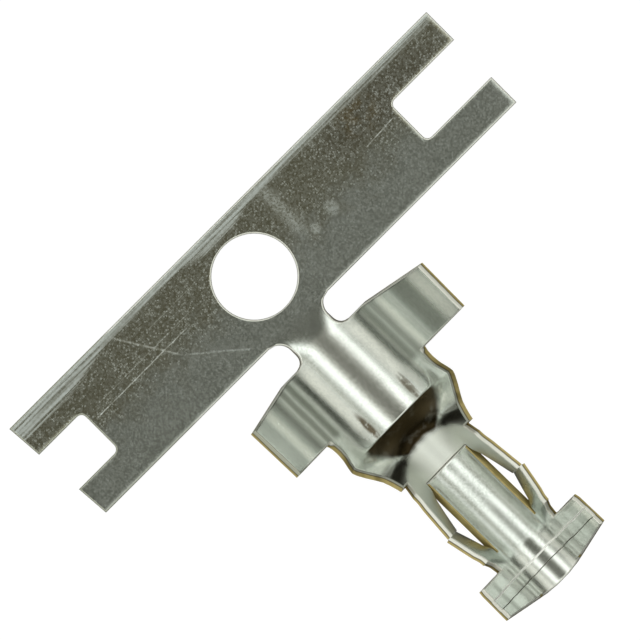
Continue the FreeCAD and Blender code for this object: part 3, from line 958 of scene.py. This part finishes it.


# Half width and length of the painted highlights on the shoulders beside the ramp, and the painted highlight
# and painted shade lines at the ends of the coined band: station, half width and colour
SHOULDER_HIGHLIGHTS = ((1.02, -3.78), (-1.02, -3.78))
SHOULDER_HIGHLIGHT_HALF = (0.20, 0.17)
BAND_HIGHLIGHT_AND_SHADE_LINES = (
    (BAND_START, 0.024, (1.0, 1.0, 0.97, 1.0)),
    (BAND_END, 0.010, (0.09, 0.08, 0.05, 1.0)),
)

# Softness of the ends of the streaks, and of those with full haze
STREAK_END = 0.08
HAZY_STREAK_END = 0.25


def plain_tin(tree, flat, mottling, marks):
    """Colour of the tin with its stains, before anything brighter."""
    cloud, grain = mottling["Cloud"], mottling["Grain"]
    brown, strip = marks["Brown"], marks["Strip"]
    colour = mix_rgb(tree, step(tree, cloud, 0.35, 0.65), (0.54, 0.57, 0.53, 1.0), (0.62, 0.65, 0.61, 1.0))
    dark_end = soft_spot(tree, flat, (3.7, 0.62), (2.0, 0.60))
    stain = soft_spot(tree, flat, (3.25, 0.72), (0.55, 0.45),
                      step(tree, noise(tree, flat, 5.0, 4.0), 0.42, 0.60))
    for mask, share, tint in (
            (step(tree, grain, 0.30, 0.70), 1.0, (0.65, 0.68, 0.64, 1.0)),
            (strip, 0.30, (0.26, 0.28, 0.25, 1.0)),
            (brown, 0.85, (0.31, 0.29, 0.20, 1.0)),
            (dark_end, 0.6, (0.24, 0.22, 0.17, 1.0)),
            (stain, 0.55, (0.32, 0.24, 0.11, 1.0))):
        colour = mix_rgb(tree, times(tree, mask, share), colour, tint)
    speckled = times(tree, step(tree, grain, 0.38, 0.64), times(tree, strip, 0.26))
    return mix_rgb(tree, speckled, colour, (0.82, 0.86, 0.82, 1.0))


def light_marks(tree, mottling, marks):
    """Mask of the burnished band, the pale column and the bright specks."""
    light = maths(tree, "MAXIMUM", times(tree, marks["Band"], 0.62),
                  times(tree, marks["Pale"], 0.45))
    strength = scaled(tree, marks["Strip"], 0.09, 0.03)
    strength = scaled(tree, marks["Brown"], 0.19, strength)
    return maths(tree, "MAXIMUM", light, times(tree, mottling["Specks"], strength))


def streak_masks(tree, flat, along, grain):
    """Masks of the painted shade streaks, of the painted highlight streaks and of the haze over them."""
    wobble = scaled(tree, noise(tree, flat, 1.5, 2.0), 0.06, -0.03)
    side = maths(tree, "ADD", split_axes(tree, flat)[0], wobble)
    dim = sheen = haze = None
    for at, half_, first, last, strength, hazy in PAINTED_SHEEN_AND_SHADE_STREAKS:
        off = apart(tree, side, at)
        streak = inverse(tree, step(tree, off, 0.1 * half_, half_))
        ends = stretch(tree, along, first, last, HAZY_STREAK_END if hazy == 1.0 else STREAK_END)
        streak = times(tree, times(tree, streak, ends), abs(strength))
        if strength > 0:
            sheen = larger(tree, sheen, streak)
            haze = larger(tree, haze, times(tree, streak, hazy))
        else:
            dim = larger(tree, dim, streak)
    grainy = scaled(tree, step(tree, grain, 0.32, 0.66), 0.20, 0.80)
    sheen = times(tree, sheen, grainy)
    # Painted highlights on the shoulders beside the ramp
    for centre in SHOULDER_HIGHLIGHTS:
        spot = soft_spot(tree, flat, centre, SHOULDER_HIGHLIGHT_HALF,
                         step(tree, noise(tree, flat, 6.0, 3.0), 0.30, 0.55))
        sheen = larger(tree, sheen, times(tree, spot, 0.6))
    return dim, sheen, haze


def scratch_marks(tree, scratch, place_):
    """Mask of all the scratches."""
    marks = None
    for (ax, ay), (bx, by), width, strength in SCRATCHES:
        run = Vector((bx - ax, by - ay, 0.0))
        unit = run.normalized()
        node = use_group(tree, scratch, Vector=place_, Start=(ax, ay, 0.0), Direction=tuple(unit),
                         Across=(-unit.y, unit.x, 0.0), Length=run.length, Width=width)
        marks = larger(tree, marks, times(tree, node.outputs["Mask"], strength))
    return marks


def tin_material(settings, mottle, scratch, marks_group, painted_ramp_shade_and_matt):
    material, tree, shader = material_tree("tinned_brass")
    place_ = in_millimetres(tree)
    flat = attribute(tree, "flat").outputs["Vector"]
    along = times(tree, split_axes(tree, flat)[1], -1.0)
    mottling = use_group(tree, mottle, Vector=place_, Flat=flat).outputs
    marks = use_group(tree, marks_group, Flat=flat).outputs
    painted_shade_and_matt = use_group(tree, painted_ramp_shade_and_matt, Flat=flat, Vector=place_).outputs
    grain, strip = mottling["Grain"], marks["Strip"]
    light = light_marks(tree, mottling, marks)
    dim, sheen, haze = streak_masks(tree, flat, along, grain)
    scratches = scratch_marks(tree, scratch, place_)

    colour = plain_tin(tree, flat, mottling, marks)
    # Painted shade: the negative streaks darken the colour
    colour = mix_rgb(tree, dim, colour, (0.20, 0.21, 0.18, 1.0))
    colour = mix_rgb(tree, light, colour, (0.70, 0.77, 0.78, 1.0))
    # Painted highlights: the positive streaks and the shoulder spots lighten the colour
    colour = mix_rgb(tree, sheen, colour, (0.97, 0.98, 0.92, 1.0))
    for centre, half_, strength in SMUDGES:
        smudge = soft_spot(tree, flat, centre, half_, step(tree, noise(tree, flat, 9.0, 3.0), 0.24, 0.50))
        colour = mix_rgb(tree, times(tree, smudge, strength), colour, (0.10, 0.07, 0.03, 1.0))
    # Painted shade over the ramp, darker further along it
    ramp = mix_rgb(tree, step(tree, along, 3.76, 3.96), (0.055, 0.040, 0.018, 1.0),
                   (0.026, 0.019, 0.009, 1.0))
    colour = mix_rgb(tree, painted_shade_and_matt["Shade"], colour, ramp)
    colour = mix_rgb(tree, times(tree, painted_shade_and_matt["Matt"], 0.8), colour, (0.72, 0.74, 0.68, 1.0))
    colour = mix_rgb(tree, scratches, colour, (0.86, 0.92, 0.92, 1.0))

    rough = scaled(tree, grain, 0.04, settings.roughness - 0.02)
    for mask, gain in ((light, 0.26), (haze, 0.36), (strip, 0.03), (painted_shade_and_matt["Matt"], 0.26),
                       (scratches, 0.30)):
        rough = scaled(tree, mask, gain, rough)

    sag = scaled(tree, noise(tree, flat, 3.0, 2.0), 0.05, -0.025)
    sagging = maths(tree, "ADD", sag, along)
    # Painted highlight along the start of the coined band and painted shade along its end
    for at, half_, tint in BAND_HIGHLIGHT_AND_SHADE_LINES:
        off = apart(tree, sagging, at)
        line = inverse(tree, step(tree, off, half_ * 0.4, half_))
        colour = mix_rgb(tree, line, colour, tint)
        rough = scaled(tree, line, 0.42, rough)

    drawn = noise(tree, vector(tree, "MULTIPLY", flat, (14.0, 0.8, 1.0)), 1.0, 3.0, 0.6)
    drawn = scaled(tree, drawn, 0.9, times(tree, grain, 0.10))
    rolled = scaled(tree, mottling["Rolling"], 0.4, times(tree, grain, 0.4))
    bump = tree.nodes.new("ShaderNodeBump")
    bump.inputs["Strength"].default_value = settings.bump
    bump.inputs["Distance"].default_value = BUMP_DEPTH
    tree.links.new(maths(tree, "SUBTRACT", mix_value(tree, strip, drawn, rolled), scratches),
                   bump.inputs["Height"])
    tree.links.new(colour, shader.inputs["Base Color"])
    tree.links.new(rough, shader.inputs["Roughness"])
    tree.links.new(bump.outputs["Normal"], shader.inputs["Normal"])
    shader.inputs["Metallic"].default_value = 1.0
    return material


def edge_material():
    """Cut edge: bare brass where the sheet broke, tin smeared over it where it was shorn."""
    material, tree, shader = material_tree("cut_edge_brass")
    place_ = in_millimetres(tree)
    through = attribute(tree, "depth").outputs["Fac"]
    ragged = scaled(tree, noise(tree, place_, 5.0, 3.0), 0.16, -0.08)
    through = maths(tree, "ADD", through, ragged)
    x, y = split_axes(tree, attribute(tree, "flat").outputs["Vector"])
    width = maths(tree, "ABSOLUTE", x)
    along = times(tree, y, -1.0)
    past_wings = step(tree, along, 2.98, 3.04)
    torn = times(tree, past_wings,
                 inverse(tree, step(tree, along, SHOULDER_AT - 0.02, SHOULDER_AT + 0.02)))
    foot = times(tree, step(tree, width, TONGUE_HALF - 0.03, TONGUE_HALF - 0.02),
                 inverse(tree, step(tree, width, LEG_FOOT + 0.04, LEG_FOOT + 0.06)))
    foot = times(tree, foot, step(tree, along, COLLAR_END, COLLAR_END + 0.05))
    shift = maths(tree, "ADD", times(tree, torn, 0.30), times(tree, foot, 0.9))
    through = maths(tree, "SUBTRACT", through, shift)
    left_end = times(tree, inverse(tree, step(tree, x, -2.6, -2.4)), inverse(tree, past_wings))
    brass = mix_rgb(tree, noise(tree, place_, 6.0, 3.0), (0.30, 0.235, 0.075, 1.0), (0.50, 0.41, 0.18, 1.0))
    smeared = mix_rgb(tree, torn, (0.72, 0.72, 0.66, 1.0), (0.30, 0.31, 0.27, 1.0))
    smeared = mix_rgb(tree, left_end, smeared, (0.40, 0.41, 0.34, 1.0))
    colour = mix_rgb(tree, step(tree, through, 0.26, 0.36), brass, (0.12, 0.10, 0.05, 1.0))
    colour = mix_rgb(tree, step(tree, through, 0.42, 0.52), colour, smeared)
    shader.inputs["Metallic"].default_value = 0.6
    shader.inputs["Roughness"].default_value = 0.36
    tree.links.new(colour, shader.inputs["Base Color"])
    return material


# Stage


# The dome's brightness by the angle from its axis: a lamp in a ring, and a dimmer one below it
RING = ((0.0, 0.10), (10.0, 0.12), (16.0, 0.28), (20.5, 1.05), (24.5, 1.75), (33.0, 1.75), (38.0, 1.0),
        (43.0, 0.60), (50.0, 0.70), (58.0, 1.15), (66.0, 0.95), (76.0, 0.42), (84.0, 0.20), (90.0, 0.06),
        (180.0, 0.04))

# Degrees by which the axis leans to the left, -x, and to the back, +y
DOME_LEAN_LEFT = 5.0
DOME_LEAN_BACK = 2.5

# The picture: width in pixels, millimetres per pixel, and the point of the part in its middle
PICTURE_WIDTH = 640
PIXEL = 0.01735
PICTURE_MIDDLE = (0.273, -1.338, 0.5)
PICTURE_TURN = -45.0


def dome_colour(level, top):
    """The lamps are neutral, the dim parts of the room between them a little olive."""
    t = min(level / 1.2, 1.0)
    return tuple(level / top * mix(a, b, t) for a, b in zip((1.0, 1.0, 0.80), (0.98, 1.0, 0.97))) + (1.0,)


def build_world(settings):
    world = bpy.data.worlds.new("studio_dome")
    bpy.context.scene.world = world
    world.use_nodes = True
    tree = world.node_tree
    tree.nodes.clear()
    output = tree.nodes.new("ShaderNodeOutputWorld")
    coords = tree.nodes.new("ShaderNodeTexCoord")
    axis = Vector((-math.sin(math.radians(DOME_LEAN_LEFT)), math.sin(math.radians(DOME_LEAN_BACK)), 1.0))
    rise = vector(tree, "DOT_PRODUCT", coords.outputs["Generated"], tuple(axis.normalized()))
    angle = maths(tree, "ARCCOSINE", maths(tree, "MINIMUM", rise, 1.0))
    turn = maths(tree, "DIVIDE", angle, math.pi)
    ramp = tree.nodes.new("ShaderNodeValToRGB")
    ramp.color_ramp.interpolation = "LINEAR"
    elements = ramp.color_ramp.elements
    top = max(level for _, level in RING)
    elements[0].position = 0.0
    elements[0].color = dome_colour(RING[0][1], top)
    elements[1].position = 1.0
    elements[1].color = dome_colour(RING[-1][1], top)
    for degrees, level in RING[1:-1]:
        element = elements.new(degrees / 180.0)
        element.color = dome_colour(level, top)
    tree.links.new(turn, ramp.inputs["Fac"])
    dome = tree.nodes.new("ShaderNodeBackground")
    dome.inputs["Strength"].default_value = top * settings.dome
    tree.links.new(ramp.outputs["Color"], dome.inputs["Color"])
    white = tree.nodes.new("ShaderNodeBackground")
    white.inputs["Color"].default_value = (0.98, 0.98, 0.98, 1.0)
    white.inputs["Strength"].default_value = 1.0
    path = tree.nodes.new("ShaderNodeLightPath")
    choose = tree.nodes.new("ShaderNodeMixShader")
    tree.links.new(path.outputs["Is Camera Ray"], choose.inputs["Fac"])
    tree.links.new(dome.outputs["Background"], choose.inputs[1])
    tree.links.new(white.outputs["Background"], choose.inputs[2])
    tree.links.new(choose.outputs["Shader"], output.inputs["Surface"])


def build_floor(settings):
    mesh = bpy.data.meshes.new("floor")
    bm = bmesh.new()
    bmesh.ops.create_grid(bm, x_segments=1, y_segments=1, size=0.5)
    for v in bm.verts:
        v.co.z = -0.00002
    bm.to_mesh(mesh)
    bm.free()
    floor = bpy.data.objects.new("floor", mesh)
    bpy.context.scene.collection.objects.link(floor)
    material, tree, shader = material_tree("white_floor")
    shader.inputs["Base Color"].default_value = (0.08, 0.08, 0.08, 1.0)
    shader.inputs["Roughness"].default_value = 0.9
    shader.inputs["Emission Color"].default_value = (1.0, 1.0, 1.0, 1.0)
    path = tree.nodes.new("ShaderNodeLightPath")
    glow = times(tree, path.outputs["Is Camera Ray"], settings.floor_glow)
    tree.links.new(glow, shader.inputs["Emission Strength"])
    floor.data.materials.append(material)


def build_camera():
    """Looks straight down on the lying terminal, turned so that the strip runs up to the right."""
    data = bpy.data.cameras.new("camera")
    data.lens = 1200.0
    data.sensor_width = 36.0
    distance = PICTURE_WIDTH * PIXEL * MM * data.lens / data.sensor_width
    data.clip_start = 0.001
    data.clip_end = 5.0
    camera = bpy.data.objects.new("camera", data)
    x, y, z = (item * MM for item in PICTURE_MIDDLE)
    camera.location = (x, y, z + distance)
    camera.rotation_euler = (0.0, 0.0, math.radians(PICTURE_TURN))
    bpy.context.scene.collection.objects.link(camera)
    bpy.context.scene.camera = camera


# Add-on


class TerminalSettings(bpy.types.PropertyGroup):
    roughness: FloatProperty(
        name="Roughness", description="Roughness of the tin", default=0.19, min=0.0, max=1.0)
    bump: FloatProperty(
        name="Relief", description="Strength of the fine relief", default=0.08, min=0.0, max=1.0)
    dome: FloatProperty(
        name="Dome", description="Brightness of the studio dome", default=1.0, min=0.0)
    floor_glow: FloatProperty(
        name="Floor glow", description="Light the camera sees from the floor", default=0.96, min=0.0)


class TERMINAL_OT_sheet(bpy.types.Operator):
    """Build the folded sheet and dress it in tin and brass"""
    bl_idname = "terminal.sheet"
    bl_label = "Folded sheet"

    def execute(self, context):
        settings = context.scene.terminal_settings
        obj = build_terminal()
        mottle, scratch = mottle_group(), scratch_group()
        obj.data.materials.append(tin_material(settings, mottle, scratch, strip_group(), painted_ramp_shade_and_matt_group()))
        obj.data.materials.append(edge_material())
        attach(obj, "root")
        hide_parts("crimp_terminal")
        return {"FINISHED"}


class TERMINAL_OT_stage(bpy.types.Operator):
    """Set up the floor, the light and the camera"""
    bl_idname = "terminal.stage"
    bl_label = "Stage"

    def execute(self, context):
        settings = context.scene.terminal_settings
        build_world(settings)
        build_floor(settings)
        build_camera()
        context.scene.view_settings.view_transform = "Standard"
        return {"FINISHED"}


class TERMINAL_PT_panel(bpy.types.Panel):
    bl_label = "Crimp terminal"
    bl_idname = "TERMINAL_PT_panel"
    bl_space_type = "VIEW_3D"
    bl_region_type = "UI"
    bl_category = "Terminal"

    def draw(self, context):
        settings = context.scene.terminal_settings
        for name in ("roughness", "bump", "dome", "floor_glow"):
            self.layout.prop(settings, name)
        self.layout.operator("terminal.sheet")
        self.layout.operator("terminal.stage")


CLASSES = (TerminalSettings, TERMINAL_OT_sheet, TERMINAL_OT_stage, TERMINAL_PT_panel)


def register():
    for cls in CLASSES:
        bpy.utils.register_class(cls)
    bpy.types.Scene.terminal_settings = PointerProperty(type=TerminalSettings)


def unregister():
    del bpy.types.Scene.terminal_settings
    for cls in reversed(CLASSES):
        bpy.utils.unregister_class(cls)


def main():
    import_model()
    register()
    bpy.ops.terminal.sheet()
    bpy.ops.terminal.stage()


if __name__ == "__main__":
    main()
